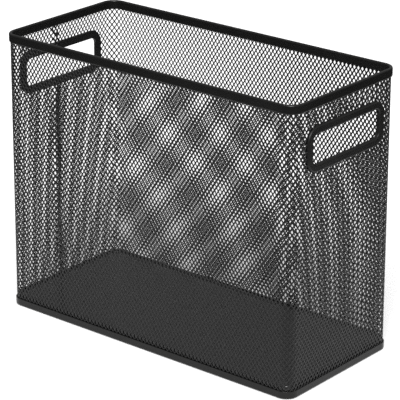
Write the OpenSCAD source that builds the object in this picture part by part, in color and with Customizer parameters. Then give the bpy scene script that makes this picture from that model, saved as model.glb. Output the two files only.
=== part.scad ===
// Desktop file box: one wrapped strip of expanded metal, a sheet floor, two rims and two slot handles.
// Origin: centre of the base on the surface it stands on. +X runs along the long side, -Y is the front
// and +Z is up. All sizes are in millimetres.

/* [Box] */
// Length over the mesh wall
wall_length = 309; // [240:1:400]
// Width over the mesh wall
wall_width = 138; // [128:1:220]
// Overall height
overall_height = 250; // [180:1:320]
// Outer corner radius of the mesh wall at the top rim
top_radius = 11.5; // [11:0.5:14]
// Outer corner radius of the mesh wall round the base pan
base_radius = 10; // [8:0.5:11]
// Thickness of the expanded metal over its strands
mesh_thickness = 1.0; // [0.6:0.1:1.2]

/* [Top rim] */
// Height of the flattened tube
rim_height = 8.3; // [5:0.1:9]
// Thickness of the flattened tube
rim_thickness = 3; // [2.8:0.1:3.6]
// Sheet gauge of the tube
rim_gauge = 0.6; // [0.4:0.1:0.7]
// Gap where the two ends of the tube meet
rim_joint_gap = 0.3; // [0.1:0.1:0.6]

/* [Bottom rim] */
// Height of the channel
channel_height = 6.5; // [4:0.1:6.6]
// Sheet gauge of the channel
channel_gauge = 0.7; // [0.5:0.1:0.8]
// How far the channel stands outside the mesh
channel_proud = 0.9; // [0.9:0.1:1.5]
// Radius of the two bends along the bottom
channel_bend = 1.2; // [0.9:0.1:1.6]

/* [Base pan] */
// Height of the floor's upper face
floor_height = 8.6; // [8:0.1:12]
// Sheet gauge of the pan
pan_gauge = 0.8; // [0.6:0.1:1]
// How far the folded lip round the floor stands above it
lip_height = 2.2; // [1.8:0.1:4]
// Inner radius of the bend between the floor and its lip
pan_bend = 0.6; // [0.3:0.1:1]

/* [Handles] */
// Length of the hand opening
slot_length = 88.4; // [76:0.2:92]
// Height of the hand opening
slot_height = 25; // [20:0.5:32]
// Corner radius of the hand opening
slot_radius = 5.5; // [4:0.5:9]
// Height of the opening's centre above the base
slot_centre_height = 207.5; // [120:0.5:208]
// Width of the trim ring round the opening
ring_width = 6.8; // [5:0.1:8]
// How far the outer ring stands off the mesh
ring_proud = 1.8; // [0.9:0.1:2.2]
// How far the inner ring stands off the mesh
washer_proud = 0.6; // [0.4:0.1:1.5]
// Wall thickness of the collar that passes through the mesh
collar_gauge = 0.8; // [0.6:0.1:1.2]

/* [Lap seam] */
// Distance of the seam's middle from the middle of the left end, positive towards the back
seam_offset = -6.5; // [-30:0.5:30]
// Width over which the two ends of the strip overlap
seam_width = 8; // [6:0.5:14]
// Radius of one spot weld
weld_radius = 1.5; // [1:0.1:2]
// Spot welds below the handle
weld_count = 6; // [3:1:9]

/* [Hidden] */
$fn = 64;

coat = [0.09, 0.09, 0.095];
floor_coat = [0.16, 0.16, 0.165];
mesh_coat = [0.05, 0.05, 0.05];

// running clearance between neighbouring sheets
gap = 0.1;
// the mesh stops this far short of the inside of each rim
edge_gap = 0.3;
// extra reach of a cutting shape past the face that it cuts
over = 1;

mesh_low = channel_gauge + edge_gap;
mesh_high = overall_height - rim_gauge - edge_gap;
rim_low = overall_height - rim_height;
pan_face = -mesh_thickness - gap;
lip_face = pan_face - 2 * pan_gauge;
lip_top = floor_height + lip_height;
inner_leg = pan_face - pan_gauge - gap;
flap_low = lip_top + edge_gap;
flap_high = rim_low - edge_gap;
flap_face = mesh_thickness + gap / 2;
// width of the step that takes the strip inwards to the flap
step_width = 2 * mesh_thickness;
weld_depth = flap_face + mesh_thickness;
// the wall is upright round the pan and inside the top rim, and its corners flare between them
flare_low = lip_top + 2 * edge_gap;
flare_high = rim_low - 2 * edge_gap;
hole_margin = collar_gauge + gap;
ring_length = slot_length + 2 * ring_width;
ring_height = slot_height + 2 * ring_width;
// the collar runs from the washer's face to half way up the outer ring, where they are one piece
collar_low = -mesh_thickness - washer_proud;
collar_high = ring_proud / 2;
// welds are spread evenly between the floor and the handle, with one more above the handle
weld_top = slot_centre_height - ring_height / 2;
weld_step = (weld_top - flap_low) / weld_count;

// ---- shared shapes ----

// Rounded rectangle made of true arcs
module rounded_rect(length, width, radius) {
    square([length - 2 * radius, width], center = true);
    square([length, width - 2 * radius], center = true);
    for (sx = [-1, 1], sy = [-1, 1])
        translate([sx * (length / 2 - radius), sy * (width / 2 - radius)]) circle(r = radius);
}

// Sweeps a flat profile round a rounded rectangle. In the profile, x is the distance outwards
// from the rectangle and y is the height.
module sweep_round(length, width, radius) {
    for (side = [0:3]) {
        half = side % 2 == 0 ? length / 2 : width / 2;
        run = (side % 2 == 0 ? width : length) - 2 * radius;
        rotate([0, 0, 90 * side]) {
            translate([half, run / 2, 0]) rotate([90, 0, 0]) linear_extrude(height = run) children();
            translate([half - radius, run / 2, 0])
                rotate_extrude(angle = 90) translate([radius, 0]) children();
        }
    }
}

module sweep_top() { sweep_round(wall_length, wall_width, top_radius) children(); }
module sweep_base() { sweep_round(wall_length, wall_width, base_radius) children(); }

// Upright flat-sided oval, its lowest point at y = 0
module oval(width, height) {
    translate([-width / 2, width / 2]) square([width, height - width]);
    for (y = [width / 2, height - width / 2]) translate([0, y]) circle(r = width / 2);
}

// The box's outer form, drawn in from its faces by inset, with extra reach at both ends
module wall_form(inset, reach) {
    length = wall_length - 2 * inset;
    width = wall_width - 2 * inset;
    hull() {
        translate([0, 0, mesh_low - reach]) linear_extrude(height = flare_low - mesh_low + reach)
            rounded_rect(length, width, base_radius - inset);
        translate([0, 0, flare_high]) linear_extrude(height = mesh_high + reach - flare_high)
            rounded_rect(length, width, top_radius - inset);
    }
}

// Stands a shape on the outside of one end wall: its z points out of the box, its x runs along Y
module on_end(side) {
    mirror([side < 0 ? 1 : 0, 0, 0])
        translate([wall_length / 2, 0, slot_centre_height]) rotate([90, 0, 90]) children();
}

// ---- mesh strip and its welds ----

// Cuts the opening for one handle's collar through an end wall
module handle_cut(side) {
    on_end(side) translate([0, 0, -mesh_thickness - over])
        linear_extrude(height = mesh_thickness + 2 * over)
            rounded_rect(slot_length + 2 * hole_margin, slot_height + 2 * hole_margin,
                         slot_radius + hole_margin);
}

// The strip's inner end: a flap behind the wall, stepped inwards at its front edge
module lap_flap() {
    difference() {
        translate([-wall_length / 2, seam_offset - seam_width / 2, flap_low]) {
            translate([flap_face, 0, 0]) cube([mesh_thickness, seam_width, flap_high - flap_low]);
            translate([mesh_thickness / 2, -step_width, 0])
                cube([flap_face + mesh_thickness / 2, step_width - rim_joint_gap / 2,
                      flap_high - flap_low]);
            translate([flap_face, -step_width / 2, 0])
                cube([mesh_thickness, step_width, flap_high - flap_low]);
        }
        on_end(-1) translate([0, 0, -weld_depth - over])
            linear_extrude(height = mesh_thickness + over)
                rounded_rect(ring_length + 2 * edge_gap, ring_height + 2 * edge_gap,
                             slot_radius + ring_width + edge_gap);
    }
}

// One weld's place: at_weld(i) for i below weld_count is under the handle, the last one is above it
module at_weld(i) {
    z = i < weld_count ? flap_low + (i + 0.5) * weld_step
                       : (slot_centre_height + ring_height / 2 + flap_high) / 2;
    translate([-wall_length / 2, seam_offset, z]) rotate([0, 90, 0]) children();
}

module mesh_wrap() color(mesh_coat) difference() {
    union() {
        difference() {
            wall_form(0, 0);
            wall_form(mesh_thickness, over);
        }
        lap_flap();
    }
    for (side = [-1, 1]) handle_cut(side);
    // the free end of the outer layer
    translate([-wall_length / 2 - over, seam_offset - (seam_width + rim_joint_gap) / 2, mesh_low - over])
        cube([over + mesh_thickness, rim_joint_gap, overall_height]);
    for (i = [0:weld_count]) at_weld(i)
        translate([0, 0, -over]) cylinder(r = weld_radius, h = weld_depth + 2 * over);
}

module seam_welds() color(mesh_coat)
    for (i = [0:weld_count]) at_weld(i) cylinder(r = weld_radius, h = weld_depth);

// ---- rims ----

module top_rim() color(coat) difference() {
    sweep_top() translate([-mesh_thickness / 2, rim_low]) difference() {
        oval(rim_thickness, rim_height);
        translate([0, rim_gauge]) oval(rim_thickness - 2 * rim_gauge, rim_height - 2 * rim_gauge);
        translate([-mesh_thickness / 2 - gap / 2, -over])
            square([mesh_thickness + gap, rim_thickness / 2 + over]);
    }
    // butt joint at the left end of the back wall
    translate([-wall_length / 2 + top_radius, wall_width / 2 - rim_thickness, rim_low - over])
        cube([rim_joint_gap, 2 * rim_thickness, rim_height + 2 * over]);
}

// Channel section: two legs with rounded tips, joined across the bottom by two bends
module channel_outline(left, right, low, bend) {
    translate([left, low + bend]) square([right - left, channel_height]);
    translate([left + bend, low]) square([right - left - 2 * bend, channel_height]);
    for (x = [left + bend, right - bend]) translate([x, low + bend]) circle(r = bend);
}

module channel_section() {
    tip = channel_gauge / 2;
    left = inner_leg - channel_gauge;
    intersection() {
        difference() {
            channel_outline(left, channel_proud, 0, channel_bend);
            channel_outline(inner_leg, channel_proud - channel_gauge, channel_gauge,
                            channel_bend - channel_gauge);
        }
        translate([left, 0]) square([channel_proud - left, channel_height - tip]);
    }
    for (x = [left + tip, channel_proud - tip]) translate([x, channel_height - tip]) circle(r = tip);
}

module bottom_rim() color(coat) difference() {
    sweep_base() channel_section();
    translate([-wall_length / 2 + base_radius, wall_width / 2 + inner_leg - over, -over])
        cube([rim_joint_gap, over - inner_leg + channel_proud + over, channel_height + 2 * over]);
}

// ---- base pan ----

// The sheet rises inside the mesh, folds over flat at the lip and turns inwards into the floor
module pan_section() {
    fold_z = lip_top - pan_gauge;
    floor_low = floor_height - pan_gauge;
    translate([pan_face - pan_gauge, mesh_low]) square([pan_gauge, fold_z - mesh_low]);
    translate([lip_face, floor_low]) square([pan_gauge, fold_z - floor_low]);
    translate([pan_face - pan_gauge, fold_z]) intersection() {
        circle(r = pan_gauge);
        translate([-pan_gauge, 0]) square([2 * pan_gauge, pan_gauge]);
    }
    difference() {
        translate([lip_face - pan_bend, floor_low]) square([pan_bend, pan_gauge + pan_bend]);
        translate([lip_face - pan_bend, floor_height + pan_bend]) circle(r = pan_bend);
    }
    translate([-base_radius / 2, floor_low]) square([lip_face + base_radius / 2, pan_gauge]);
}

module base_pan() color(floor_coat) {
    sweep_base() pan_section();
    translate([0, 0, floor_height - pan_gauge]) linear_extrude(height = pan_gauge)
        rounded_rect(wall_length - base_radius, wall_width - base_radius, base_radius / 2);
}

// ---- handles ----

// Ring section with rounded outer edges, its flat side on the mesh, from x = low to x = high
module ring_section(low, high, proud) {
    bend = proud - gap;
    intersection() {
        union() {
            translate([low, 0]) square([high - low, gap]);
            translate([low + bend, 0]) square([high - low - 2 * bend, proud]);
            for (x = [low + bend, high - bend]) translate([x, gap]) circle(r = bend);
        }
        translate([low, 0]) square([high - low, proud]);
    }
}

module sweep_slot() { sweep_round(slot_length, slot_height, slot_radius) children(); }

// Outer half: the ring outside the wall, and the collar that passes through to the inside
module handle_grommet(side) color(coat) on_end(side) sweep_slot() {
    ring_section(0, ring_width, ring_proud);
    translate([0, collar_low]) square([collar_gauge, collar_high - collar_low]);
}

// Inner half: the ring that is pressed over the collar
module handle_washer(side) color(coat) on_end(side) sweep_slot()
    translate([0, -mesh_thickness - gap / 2]) mirror([0, 1])
        ring_section(collar_gauge + gap / 2, ring_width, washer_proud);

module left_handle_grommet() { handle_grommet(-1); }
module left_handle_washer() { handle_washer(-1); }
module right_handle_grommet() { handle_grommet(1); }
module right_handle_washer() { handle_washer(1); }

mesh_wrap();
seam_welds();
top_rim();
bottom_rim();
base_pan();
left_handle_grommet();
left_handle_washer();
right_handle_grommet();
right_handle_washer();
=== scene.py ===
"""Desktop file box of black expanded metal: the looks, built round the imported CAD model."""
import math
from collections import namedtuple
import bpy
import numpy as np
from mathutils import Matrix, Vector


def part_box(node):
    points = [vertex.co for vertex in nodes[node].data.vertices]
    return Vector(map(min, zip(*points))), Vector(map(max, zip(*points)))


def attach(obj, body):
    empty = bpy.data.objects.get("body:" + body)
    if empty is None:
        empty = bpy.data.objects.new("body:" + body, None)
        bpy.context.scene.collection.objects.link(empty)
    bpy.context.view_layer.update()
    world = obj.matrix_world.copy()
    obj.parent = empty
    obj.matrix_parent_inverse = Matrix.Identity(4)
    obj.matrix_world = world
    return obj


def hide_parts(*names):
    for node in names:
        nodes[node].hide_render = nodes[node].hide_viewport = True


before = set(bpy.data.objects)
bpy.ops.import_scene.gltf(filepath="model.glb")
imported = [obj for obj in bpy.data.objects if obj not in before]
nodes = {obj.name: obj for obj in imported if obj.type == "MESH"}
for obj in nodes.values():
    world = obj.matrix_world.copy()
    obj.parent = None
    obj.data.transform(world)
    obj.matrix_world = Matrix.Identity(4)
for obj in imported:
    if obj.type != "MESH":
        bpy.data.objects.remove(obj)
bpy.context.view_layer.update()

MM = 0.001

# ---- sizes taken from the CAD model ----
wall_low, wall_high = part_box("mesh_wrap")
ring_low, ring_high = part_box("right_handle_grommet")

# ---- the wall, built as in the CAD: upright round the pan and in the top rim, flared between ----
wall_thickness = 1.0 * MM
base_radius = 10.0 * MM
top_radius = 11.5 * MM
edge_gap = 0.3 * MM
flare_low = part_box("base_pan")[1].z + 2 * edge_gap
flare_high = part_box("top_rim")[0].z - 2 * edge_gap
# the handles' rings, and how far outside the hand opening their collar cuts the mesh
ring_width = 6.8 * MM
collar = 0.9 * MM
# a wall whose normal lies this nearly along X is the flat of an end
end_facing = 0.99
# the lap: where the strip starts in the left end, how much of it lies double, and the length
# over which its inner end steps in behind the wall, leaving a gap
seam_front = -10.5 * MM
seam_width = 8.0 * MM
seam_step = 2.0 * MM
lap_gap = 0.05 * MM

# ---- the expanded metal ----
# The openings stand on a centred lattice: one at each corner of a cell and one at its middle
cell_width = 4.04 * MM
cell_height = 5.98 * MM
column_start = 2.92 * MM
row_start = -2.12 * MM
# two strands meet in a bond, this long up the wall and this wide along it
bond_length = 0.1 * MM
bond_width = 1.8 * MM
strand_width = 1.15 * MM
strand_thickness = 0.75 * MM
# how far the opening's ends and sides are drawn in to round them
tip_round = 0.1 * MM
side_round = 0.15 * MM
# the strand's section: at this share of the way to the opening it keeps this share of its thickness
shoulder = 0.55
strand_crown = 0.85
# where the points stand along a quarter of the strands' centre line and of the opening's edge
diagonal_stops = (0.0, 0.3, 0.7, 1.0)
hole_stops = (0.0, 0.25, 0.78, 1.0)
# points of neighbouring cells that agree to this are one point
same_point = 0.01 * MM
cells_per_piece = 1700
# cells laid out past each edge of the strip, for the drift to draw in
spare_cells = 4


# ---- the wall's path: a rounded rectangle, walked from the left end past the back ----
half_x = wall_high.x - wall_thickness / 2
half_y = wall_high.y - wall_thickness / 2
mean_bend = (base_radius + top_radius - wall_thickness) / 2
SIDES = [  # outward normal, direction of the walk, distance from the middle, half length
    ((-1, 0), (0, 1), half_x, half_y),
    ((0, 1), (1, 0), half_y, half_x),
    ((1, 0), (0, -1), half_x, half_y),
    ((0, -1), (-1, 0), half_y, half_x),
]
corner_saving = mean_bend * (2 - math.pi / 2)
SIDE_LENGTHS = [2 * half - corner_saving for normal, along, away, half in SIDES]
LOOP = sum(SIDE_LENGTHS)
strip_length = LOOP + seam_width

# ---- how far the sheet's openings have drifted from an even lattice, stretch by stretch ----
# offset (mm): along the strip and up, at the stretch's middle
# stretch: along per length along, and up per height
# lean: along per height, and up per length along
# swell (mm): the most that the openings near the crest are drawn along and up
# fall: the powers by which the swell falls to nothing, along and up
# crest (mm): where the swell is greatest, from the stretch's middle
Drift = namedtuple("Drift", "offset stretch lean swell fall crest")
DRIFT_LEFT = Drift((-3.1, -0.6), (0.029, -0.006), (0.015, -0.005), (-3.7, 1.9), (3.7, 2.8), (10, 8))
DRIFT_BACK = Drift((-0.2, 0.1), (0.0, -0.0024), (0.0075, 0.003), (3.1, 1.9), (2.7, 1.35), (12, -28))
DRIFT_RIGHT = Drift((1.15, 0.35), (0.014, -0.001), (0.001, 0.0014), (-2.6, -1.3), (2.4, 3.4), (16, 21))
DRIFT_FRONT = Drift((4.75, 1.95), (0.007, 0.0), (0.006, 0.0), (-4.0, 2.4), (1.4, 6.0), (3, 3))
# the strip's last run, back in the left end, has drifted by this more than its first run (mm), and
# its flap in the lap by this besides
SECOND_LEFT = (8.6, 3.0)
FLAP_SHIFT = (2.02, 0.0)
# one stretch's drift blends into the next over these lengths
CORNER_BLEND = 24 * MM
FLAP_BLEND = 5 * MM
# the strands' width against strand_width: in the lap, where paint fills in, past it, at the left rear
# corner, at and past the right rear corner, from the right front corner on, and in the lap again
WIDTH_RATIOS = (1.3, 1.0, 0.8, 1.25, 1.1, 1.0, 1.0, 1.3)


def stretches():
    """Each stretch of the strip: its middle, end, blend at that end, half length and drift."""
    left = SIDE_LENGTHS[0]
    found = []
    end = -seam_front - left / 2
    for length, drift in zip(SIDE_LENGTHS, (DRIFT_LEFT, DRIFT_BACK, DRIFT_RIGHT, DRIFT_FRONT)):
        found.append((end + length / 2, end + length, CORNER_BLEND, length / 2, drift))
        end += length
    along, up = np.array(DRIFT_LEFT.offset) + SECOND_LEFT
    last = DRIFT_LEFT._replace(offset=(along, up))
    found.append((end + left / 2, LOOP - FLAP_BLEND / 2, FLAP_BLEND, left / 2, last))
    last = DRIFT_LEFT._replace(offset=(along + FLAP_SHIFT[0], up + FLAP_SHIFT[1]))
    found.append((end + left / 2, math.inf, FLAP_BLEND, left / 2, last))
    return found


def drifted(flat):
    """Where points (s, height) of the even lattice lie in the real sheet."""
    s, up = flat[:, 0], flat[:, 1] - (wall_low.z + wall_high.z) / 2
    half_height = (wall_high.z - wall_low.z) / 2
    moved = flat.copy()
    started = np.ones(len(s))
    for middle, end, blend, half, drift in stretches():
        ended = np.clip((s - end) / blend + 0.5, 0, 1)
        weight = started - ended
        started = ended
        t = s - middle
        across = np.clip(np.abs(t - drift.crest[0] * MM) / half, 0, 1)
        upward = np.clip(np.abs(up - drift.crest[1] * MM) / half_height, 0, 1)
        bulge = (1 - across ** drift.fall[0]) * (1 - upward ** drift.fall[1])
        for axis, (own, other) in enumerate(((t, up), (up, t))):
            moved[:, axis] += weight * (drift.offset[axis] * MM + drift.stretch[axis] * own
                                        + drift.lean[axis] * other + drift.swell[axis] * MM * bulge)
    return moved


def width_ratio(s):
    """How wide the strands are at distances s along the strip, against strand_width."""
    left_rear = SIDE_LENGTHS[0] / 2 - seam_front
    right_rear = left_rear + SIDE_LENGTHS[1]
    right_front = right_rear + SIDE_LENGTHS[2]
    stops = (seam_width, seam_width + cell_width, left_rear, right_rear, right_rear + CORNER_BLEND,
             right_front, LOOP - cell_width / 2, LOOP)
    return np.interp(s, stops, WIDTH_RATIOS)


def wall_path(s, z):
    """Middle of the wall and its outward normal, at distances s along the strip and heights z."""
    flare = np.clip((z - flare_low) / (flare_high - flare_low), 0, 1)
    bend = base_radius - wall_thickness / 2 + flare * (top_radius - base_radius)
    walked = np.mod(s + seam_front + SIDE_LENGTHS[0] / 2, LOOP)
    point = np.zeros(s.shape + (2,))
    normal = np.zeros(s.shape + (2,))
    begin = 0.0
    for (out, along, away, half), length in zip(SIDES, SIDE_LENGTHS):
        out, along = np.array(out, float), np.array(along, float)
        here = (walked >= begin) & (walked < begin + length)
        offset = walked[here] - begin - length / 2
        radius = bend[here]
        straight = half - radius
        # past the straight run the strip turns by up to 45 degrees before the next side takes over
        past = np.clip((np.abs(offset) - straight) / (length / 2 - straight), 0, 1)
        turn = np.sign(offset) * past * math.pi / 4
        heading = np.cos(turn)[:, None] * out + np.sin(turn)[:, None] * along
        centre = np.clip(offset, -straight, straight)[:, None] * along
        centre = centre + (away - radius)[:, None] * out
        point[here] = centre + radius[:, None] * heading
        normal[here] = heading
        begin += length
    return point, normal


def place(flat, depth):
    """Turns lattice points (s, height) and the depth out of the wall into points in space."""
    flat = drifted(flat)
    point, normal = wall_path(flat[:, 0], flat[:, 1])
    inside = np.clip((flat[:, 0] - LOOP + seam_step) / seam_step, 0, 1)
    step = (wall_thickness + lap_gap) * inside * inside * (3 - 2 * inside)
    point = point + normal * (depth - step)[:, None]
    return np.column_stack([point, flat[:, 1]])


# ---- one opening of the expanded metal ----
def mirror_round(quarter):
    """A closed clockwise loop from the points of its upper right quarter."""
    right_low = [(x, -y) for x, y in reversed(quarter)]
    left_low = [(-x, -y) for x, y in quarter[1:]]
    left_high = [(-x, y) for x, y in reversed(quarter[1:])]
    return np.array(quarter + right_low + left_low + left_high)


def cell_loops():
    """The strands' centre line round one opening, and the edge of the opening."""
    tip = (cell_height - bond_length) / 2
    side = cell_width / 2
    low = bond_length / 2
    slope = (tip - low) / side
    outline = [(t * side, tip + t * (low - tip)) for t in diagonal_stops]
    edge_tip = tip - strand_width / 2 * math.hypot(1, slope)
    edge_side = side - bond_width / 2
    edge = [[t * edge_side, edge_tip - slope * t * edge_side] for t in hole_stops]
    edge[0][1] -= tip_round
    edge[-1][1] -= side_round
    return mirror_round(outline), mirror_round([tuple(p) for p in edge])


def in_handle_hole(points):
    """Which of the points (s, height) are inside a handle's collar."""
    point, normal = wall_path(points[:, 0], points[:, 1])
    on_end = np.abs(normal[:, 0]) > end_facing
    reach_y = ring_high.y - ring_width + collar
    reach_z = (ring_high.z - ring_low.z) / 2 - ring_width + collar
    middle_z = (ring_high.z + ring_low.z) / 2
    return on_end & (np.abs(point[:, 1]) < reach_y) & (np.abs(points[:, 1] - middle_z) < reach_z)


def opening_centres(outline):
    """Centres of all the openings whose strands lie in the strip, clear of the handles, in order."""
    found = []
    for half in (0, 0.5):
        columns = np.arange(-spare_cells, strip_length / cell_width + spare_cells) + half
        rows = np.arange(-spare_cells, wall_high.z / cell_height + spare_cells) + half
        grid = np.meshgrid(column_start + columns * cell_width, row_start + rows * cell_height,
                           indexing="ij")
        found.append(np.stack(grid, axis=-1).reshape(-1, 2))
    centres = np.concatenate(found)
    corners = drifted((centres[:, None, :] + outline[None, :, :]).reshape(-1, 2))
    s, z = corners[:, 0], corners[:, 1]
    fits = (s > 0) & (s < strip_length) & (z > wall_low.z) & (z < wall_high.z)
    fits = (fits & ~in_handle_hole(corners)).reshape(len(centres), -1).all(axis=1)
    centres = centres[fits]
    return centres[np.argsort(centres[:, 0], kind="stable")]


def mesh_piece(name, centres, outline, edge):
    """One closed piece of the strip, made of the cells at these centres."""
    count = len(outline)
    cells = len(centres)
    flat = (centres[:, None, :] + outline[None, :, :]).reshape(-1, 2)
    rounded = np.round(flat / same_point).astype(int)
    first, joined = np.unique(rounded, axis=0, return_index=True, return_inverse=True)[1:]
    shared = flat[first]
    outer = joined.reshape(cells, count)
    inwards = width_ratio(centres[:, 0])[:, None, None] * (edge - outline)[None, :, :]
    half = strand_thickness / 2
    points = [place(shared, np.full(len(shared), half)), place(shared, np.full(len(shared), -half))]
    loops = [outer]
    base = 2 * len(shared)
    for part, depth in ((shoulder, strand_crown * half), (1.0, 0.0), (shoulder, -strand_crown * half)):
        ring = (centres[:, None, :] + outline[None, :, :] + part * inwards).reshape(-1, 2)
        points.append(place(ring, np.full(len(ring), depth)))
        loops.append(base + np.arange(cells * count).reshape(cells, count))
        base += cells * count
    loops.append(outer + len(shared))
    faces = [np.stack([a, np.roll(a, -1, 1), np.roll(b, -1, 1), b], axis=-1).reshape(-1, 4)
             for a, b in zip(loops, loops[1:])]
    # the strip's own edges are closed by a flat face from front to back
    start, end = outer.reshape(-1), np.roll(outer, -1, 1).reshape(-1)
    size = len(shared)
    free = ~np.isin(start * size + end, end * size + start)
    rim = np.stack([end[free], start[free], start[free] + size, end[free] + size], axis=-1)
    smooth = np.ones(sum(len(f) for f in faces) + len(rim), bool)
    smooth[len(smooth) - len(rim):] = False
    return add_mesh(name, np.concatenate(points), np.concatenate(faces + [rim]), smooth)


def add_mesh(name, points, faces, smooth):
    """An object of these points and four-sided faces, each smooth or flat."""
    mesh = bpy.data.meshes.new(name)
    mesh.vertices.add(len(points))
    mesh.vertices.foreach_set("co", points.astype(np.float32).ravel())
    mesh.loops.add(faces.size)
    mesh.loops.foreach_set("vertex_index", faces.astype(np.int32).ravel())
    mesh.polygons.add(len(faces))
    mesh.polygons.foreach_set("loop_start", np.arange(0, faces.size, faces.shape[1], dtype=np.int32))
    mesh.polygons.foreach_set("use_smooth", smooth)
    mesh.update(calc_edges=True)
    mesh.validate()
    obj = bpy.data.objects.new(name, mesh)
    bpy.context.scene.collection.objects.link(obj)
    return obj


# ---- materials ----
PEEL_STRENGTH = 0.25
PEEL_DEPTH = 0.03 * MM
PEEL_DETAIL = 3
PATCH_SCALE = 60
PATCH_DETAIL = 2
GLOSS_SPREAD = 0.06
TINT_SPREAD = 0.15
# for the painted shade, a face is upright while the upward part of its normal is under the first, and
# level above the second
UPRIGHT = 0.3
LEVEL = 0.9


def powder_coat(name, colour, ior, roughness, grain):
    """Black powder coat: fine orange peel, and a gloss that varies a little from place to place."""
    material = bpy.data.materials.new(name)
    material.use_nodes = True
    tree = material.node_tree
    shader = tree.nodes["Principled BSDF"]
    shader.inputs["IOR"].default_value = ior
    where = tree.nodes.new("ShaderNodeTexCoord")
    noise = tree.nodes.new("ShaderNodeTexNoise")
    noise.inputs["Scale"].default_value = grain
    noise.inputs["Detail"].default_value = PEEL_DETAIL
    tree.links.new(where.outputs["Object"], noise.inputs["Vector"])
    bump = tree.nodes.new("ShaderNodeBump")
    bump.inputs["Strength"].default_value = PEEL_STRENGTH
    bump.inputs["Distance"].default_value = PEEL_DEPTH
    tree.links.new(noise.outputs["Fac"], bump.inputs["Height"])
    tree.links.new(bump.outputs["Normal"], shader.inputs["Normal"])
    patches = tree.nodes.new("ShaderNodeTexNoise")
    patches.inputs["Scale"].default_value = PATCH_SCALE
    patches.inputs["Detail"].default_value = PATCH_DETAIL
    tree.links.new(where.outputs["Object"], patches.inputs["Vector"])
    gloss = tree.nodes.new("ShaderNodeMapRange")
    gloss.inputs["To Min"].default_value = roughness - GLOSS_SPREAD
    gloss.inputs["To Max"].default_value = roughness + GLOSS_SPREAD
    tree.links.new(patches.outputs["Fac"], gloss.inputs["Value"])
    tree.links.new(gloss.outputs["Result"], shader.inputs["Roughness"])
    # a colour mix has its two colours in inputs 6 and 7, and its result in output 2
    tint = tree.nodes.new("ShaderNodeMix")
    tint.data_type = "RGBA"
    tint.inputs[6].default_value = (*((1 - TINT_SPREAD) * c for c in colour), 1)
    tint.inputs[7].default_value = (*((1 + TINT_SPREAD) * c for c in colour), 1)
    tree.links.new(noise.outputs["Fac"], tint.inputs[0])
    tree.links.new(tint.outputs[2], shader.inputs["Base Color"])
    return material


def paint_shade_on_sides(material, ratio):
    """Paints shade on upright faces: takes their colour down to this share of the colour of level
    ones.
    """
    tree = material.node_tree
    shader = tree.nodes["Principled BSDF"]
    colour = shader.inputs["Base Color"].links[0].from_socket
    facing = tree.nodes.new("ShaderNodeNewGeometry")
    split = tree.nodes.new("ShaderNodeSeparateXYZ")
    tree.links.new(facing.outputs["Normal"], split.inputs[0])
    share = tree.nodes.new("ShaderNodeMapRange")
    share.inputs["From Min"].default_value = UPRIGHT
    share.inputs["From Max"].default_value = LEVEL
    share.inputs["To Min"].default_value = ratio
    tree.links.new(split.outputs["Z"], share.inputs["Value"])
    scaled = tree.nodes.new("ShaderNodeVectorMath")
    scaled.operation = "SCALE"
    tree.links.new(colour, scaled.inputs[0])
    tree.links.new(share.outputs["Result"], scaled.inputs["Scale"])
    tree.links.new(scaled.outputs[0], shader.inputs["Base Color"])


STRAND_BLACK = (0.009, 0.009, 0.009)
RIM_BLACK = (0.006, 0.006, 0.0058)
PAN_BLACK = (0.023, 0.023, 0.023)
# painted shade: the pan's upright faces, shaded behind the mesh, take this share of its colour
PAN_SIDE_SHADE = 0.2
STRAND_GRAIN = 1800
SHEET_GRAIN = 1500
mesh_coat = powder_coat("mesh_coat", STRAND_BLACK, ior=1.38, roughness=0.40, grain=STRAND_GRAIN)
rim_coat = powder_coat("rim_coat", RIM_BLACK, ior=1.32, roughness=0.30, grain=SHEET_GRAIN)
pan_coat = powder_coat("pan_coat", PAN_BLACK, ior=1.5, roughness=0.22, grain=SHEET_GRAIN)
# painted shade: the pan's upright sides are made darker than its level floor
paint_shade_on_sides(pan_coat, PAN_SIDE_SHADE)
handle_coat = powder_coat("handle_coat", RIM_BLACK, ior=1.32, roughness=0.42, grain=SHEET_GRAIN)
weld_coat = powder_coat("weld_coat", STRAND_BLACK, ior=1.42, roughness=0.4, grain=SHEET_GRAIN)


def finish_node(node, material):
    """Gives a CAD node its one material."""
    obj = nodes[node]
    obj.data.materials.clear()
    obj.data.materials.append(material)


# ---- the strip's bands, and the CAD nodes that keep their own shape ----
outline, edge = cell_loops()
centres = opening_centres(outline)
pieces = math.ceil(len(centres) / cells_per_piece)
for number, part in enumerate(np.array_split(centres, pieces), start=1):
    band = mesh_piece(f"mesh_band_{number:02d}", part, outline, edge)
    band.data.materials.append(mesh_coat)
    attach(band, "root")
    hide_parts("mesh_wrap")

finish_node("seam_welds", weld_coat)
finish_node("top_rim", rim_coat)
finish_node("bottom_rim", rim_coat)
finish_node("base_pan", pan_coat)
for side in ("left", "right"):
    finish_node(f"{side}_handle_grommet", handle_coat)
    finish_node(f"{side}_handle_washer", handle_coat)


# ---- studio ----
PAPER_GREY = 0.8
PAPER_GLOW = 0.10
PAPER_ROUGHNESS = 0.9
PAPER_SHINE = 0.1
DISC_CORNERS = 96
FLOOR_RADIUS = 12.0
FLOOR_DROP = 0.5 * MM
TABLE_REACH = 0.30
TABLE_DROP = 0.2 * MM
# brightness of the sky by height, from straight down (0) past the horizon (0.5) to straight up (1)
SKY_BANDS = [(0.0, 0.03), (0.49, 0.03), (0.51, 0.25), (0.62, 0.3), (0.8, 0.6), (1.0, 0.6)]
BACKDROP_STRENGTH = 1.2
KEY_STRENGTH = 4.2
# the key light's direction and width, in degrees
KEY_AZIMUTH = 37
KEY_ELEVATION = 45
KEY_SPREAD = 30


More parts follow.
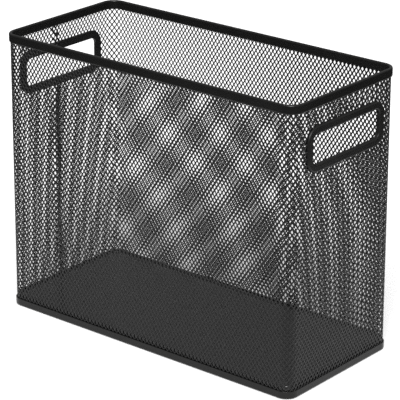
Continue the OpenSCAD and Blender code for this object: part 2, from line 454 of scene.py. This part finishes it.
def stage_disc(name, radius, height):
    """A round sheet of white paper."""
    turns = [2 * math.pi * k / DISC_CORNERS for k in range(DISC_CORNERS)]
    rim = [(radius * math.cos(t), radius * math.sin(t), height) for t in turns]
    mesh = bpy.data.meshes.new(name)
    mesh.from_pydata(rim, [], [range(len(rim))])
    disc = bpy.data.objects.new(name, mesh)
    bpy.context.scene.collection.objects.link(disc)
    paper = bpy.data.materials.new(name + "_paper")
    paper.use_nodes = True
    shader = paper.node_tree.nodes["Principled BSDF"]
    shader.inputs["Base Color"].default_value = (PAPER_GREY, PAPER_GREY, PAPER_GREY, 1)
    shader.inputs["Roughness"].default_value = PAPER_ROUGHNESS
    shader.inputs["Specular IOR Level"].default_value = PAPER_SHINE
    shader.inputs["Emission Color"].default_value = (1, 1, 1, 1)
    shader.inputs["Emission Strength"].default_value = PAPER_GLOW
    mesh.materials.append(paper)
    return disc


# glossy faces mirror the small table and not the floor, and nothing else shows the table
floor = stage_disc("floor", FLOOR_RADIUS, -FLOOR_DROP)
floor.visible_glossy = False
table = stage_disc("table", max(wall_high.x, wall_high.y) + TABLE_REACH, -TABLE_DROP)
table.visible_camera = False
table.visible_diffuse = False
table.visible_shadow = False

key_data = bpy.data.lights.new("key", "SUN")
key_data.energy = KEY_STRENGTH
key_data.angle = math.radians(KEY_SPREAD)
key = bpy.data.objects.new("key", key_data)
key.rotation_euler = (math.radians(90 - KEY_ELEVATION), 0, math.radians(KEY_AZIMUTH))
bpy.context.scene.collection.objects.link(key)

# the sky lights the object, and the camera sees a white backdrop in its place
world = bpy.data.worlds.new("studio")
world.use_nodes = True
tree = world.node_tree
sky = tree.nodes["Background"]
where = tree.nodes.new("ShaderNodeTexCoord")
split = tree.nodes.new("ShaderNodeSeparateXYZ")
tree.links.new(where.outputs["Generated"], split.inputs[0])
height = tree.nodes.new("ShaderNodeMapRange")
height.inputs["From Min"].default_value = -1
tree.links.new(split.outputs["Z"], height.inputs["Value"])
ramp = tree.nodes.new("ShaderNodeValToRGB")
while len(ramp.color_ramp.elements) < len(SKY_BANDS):
    ramp.color_ramp.elements.new(0.5)
for stop, (level, value) in zip(ramp.color_ramp.elements, SKY_BANDS):
    stop.position = level
    stop.color = (value, value, value, 1)
tree.links.new(height.outputs["Result"], ramp.inputs["Fac"])
tree.links.new(ramp.outputs["Color"], sky.inputs["Color"])
backdrop = tree.nodes.new("ShaderNodeBackground")
backdrop.inputs["Color"].default_value = (1, 1, 1, 1)
backdrop.inputs["Strength"].default_value = BACKDROP_STRENGTH
seen = tree.nodes.new("ShaderNodeLightPath")
either = tree.nodes.new("ShaderNodeMixShader")
tree.links.new(seen.outputs["Is Camera Ray"], either.inputs[0])
tree.links.new(sky.outputs[0], either.inputs[1])
tree.links.new(backdrop.outputs[0], either.inputs[2])
tree.links.new(either.outputs[0], tree.nodes["World Output"].inputs["Surface"])
bpy.context.scene.world = world

# ---- camera: lens and sensor in mm, place and reach in m, angles in degrees ----
FOCAL_LENGTH = 198.084
SENSOR_WIDTH = 36
FARTHEST_SEEN = 50
CAMERA_PLACE = (1.11761, -1.34522, 0.78735)
CAMERA_DIP = 21.0185
CAMERA_ROLL = -0.117
CAMERA_TURN = 39.654
camera_data = bpy.data.cameras.new("camera")
camera_data.lens = FOCAL_LENGTH
camera_data.sensor_width = SENSOR_WIDTH
camera_data.clip_end = FARTHEST_SEEN
camera = bpy.data.objects.new("camera", camera_data)
camera.location = CAMERA_PLACE
camera.rotation_euler = [math.radians(angle) for angle in (90 - CAMERA_DIP, CAMERA_ROLL, CAMERA_TURN)]
bpy.context.scene.collection.objects.link(camera)
bpy.context.scene.camera = camera
bpy.context.scene.view_settings.view_transform = "Standard"
bpy.context.scene.cycles.use_denoising = False
